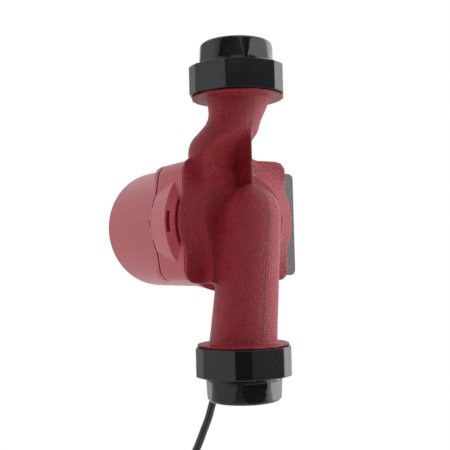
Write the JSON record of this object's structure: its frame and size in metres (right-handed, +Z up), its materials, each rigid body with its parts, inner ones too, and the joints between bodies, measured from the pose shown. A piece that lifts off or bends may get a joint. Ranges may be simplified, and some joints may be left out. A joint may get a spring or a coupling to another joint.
{
  "type": "circulation pump",
  "caption": "Wet rotor circulator: cast housing with in-line threaded unions, round motor barrel, side terminal box and a mains lead with a plug.",
  "frame": {"origin": "middle of the lower (suction) union's pipe mouth", "axes": "+Z up the pipe axis to the discharge union, -Y out along the motor, terminal box on the -X side"},
  "size_m": [0.1262, 0.1828, 0.4356],
  "materials": {
    "housing_paint": "satin red enamel over a coarse casting",
    "motor_paint": "smooth satin red enamel",
    "union_black": "glossy black enamel",
    "steel": "bright zinc plated",
    "stainless": "plain drawn stainless steel",
    "laminations": "dull stacked sheet",
    "aluminium": "satin",
    "brass": "satin",
    "copper_winding": "varnished wire",
    "ceramic": "polished ceramic",
    "carbon": "fine carbon",
    "impeller_plastic": "moulded, plain",
    "box_plastic": "fine moulded grain",
    "knob_plastic": "plain moulded",
    "block_plastic": "plain moulded",
    "gland_plastic": "plain moulded",
    "seal_rubber": "matt black",
    "cord_rubber": "satin black sheath",
    "plug_plastic": "satin black moulding"
  },
  "bodies": {
    "pump": {"pump_housing": "housing_paint", "wear_ring": "stainless", "inner_bearing": "ceramic", "front_bearing": "ceramic", "bearing_plate": "stainless", "housing_gasket": "seal_rubber", "rotor_can": "stainless", "stator_housing": "motor_paint", "stator_core": "laminations", "stator_windings": "copper_winding", "housing_screws": "steel", "nameplate": "aluminium", "terminal_box": "box_plastic", "box_screws": "steel", "box_gasket": "seal_rubber", "terminal_cover": "box_plastic", "cover_screws": "steel", "speed_switch": "gland_plastic", "terminal_block": "block_plastic", "capacitor": "aluminium", "wire_grommet": "seal_rubber", "gland_body": "gland_plastic", "gland_seal": "seal_rubber", "gland_nut": "gland_plastic", "strain_relief": "cord_rubber", "suction_gasket": "seal_rubber", "discharge_gasket": "seal_rubber", "cord_lead": "cord_rubber", "cord_coil": "cord_rubber", "cord_end": "cord_rubber", "cord_tie": "gland_plastic", "plug_relief": "cord_rubber", "plug_body": "plug_plastic", "plug_pins": "steel", "plug_earth_clips": "steel"},
    "rotor": {"impeller": "impeller_plastic", "shaft": "ceramic", "rotor_core": "stainless", "rotor_end_rings": "stainless", "thrust_bearing": "carbon"},
    "speed_knob": {"speed_knob": "knob_plastic"},
    "vent_travel": {"vent_seal": "seal_rubber"},
    "vent_screw": {"vent_screw": "brass"},
    "discharge_tail": {"discharge_tail": "union_black", "discharge_snap_ring": "steel"},
    "discharge_nut": {"discharge_nut": "union_black"},
    "suction_tail": {"suction_tail": "union_black", "suction_snap_ring": "steel"},
    "suction_nut": {"suction_nut": "union_black"}
  },
  "joints": [
    {"name": "rotor_spin", "type": "hinge", "parent": "pump", "child": "rotor", "pos_m": [0, 0, 0.1123], "axis": [0, -1, 0], "continuous": true},
    {"name": "speed_turn", "type": "hinge", "parent": "pump", "child": "speed_knob", "pos_m": [-0.055, -0.111, 0.1283], "axis": [0, -1, 0], "range_deg": [-40, 40]},
    {"name": "vent_slide", "type": "slide", "parent": "pump", "child": "vent_travel", "axis": [0, -1, 0], "range_m": [0, 0.0045]},
    {"name": "vent_turn", "type": "hinge", "parent": "vent_travel", "child": "vent_screw", "pos_m": [0, -0.11, 0.1123], "axis": [0, -1, 0], "range_deg": [0, 1080]},
    {"name": "discharge_draw", "type": "slide", "parent": "pump", "child": "discharge_tail", "axis": [0, 0, 1], "range_m": [0, 0.0116]},
    {"name": "discharge_nut_turn", "type": "hinge", "parent": "discharge_tail", "child": "discharge_nut", "pos_m": [0, 0, 0.2], "axis": [0, 0, 1], "range_deg": [0, 1800]},
    {"name": "suction_draw", "type": "slide", "parent": "pump", "child": "suction_tail", "axis": [0, 0, -1], "range_m": [0, 0.0116]},
    {"name": "suction_nut_turn", "type": "hinge", "parent": "suction_tail", "child": "suction_nut", "pos_m": [0, 0, 0.0246], "axis": [0, 0, -1], "range_deg": [0, 1800]}
  ],
  "couplings": [
    {"joint": "vent_turn", "follows": "vent_slide", "rad_per_m": 4188.8},
    {"joint": "discharge_draw", "follows": "discharge_nut_turn", "m_per_rad": 0.00036749},
    {"joint": "suction_draw", "follows": "suction_nut_turn", "m_per_rad": 0.00036749}
  ]
}
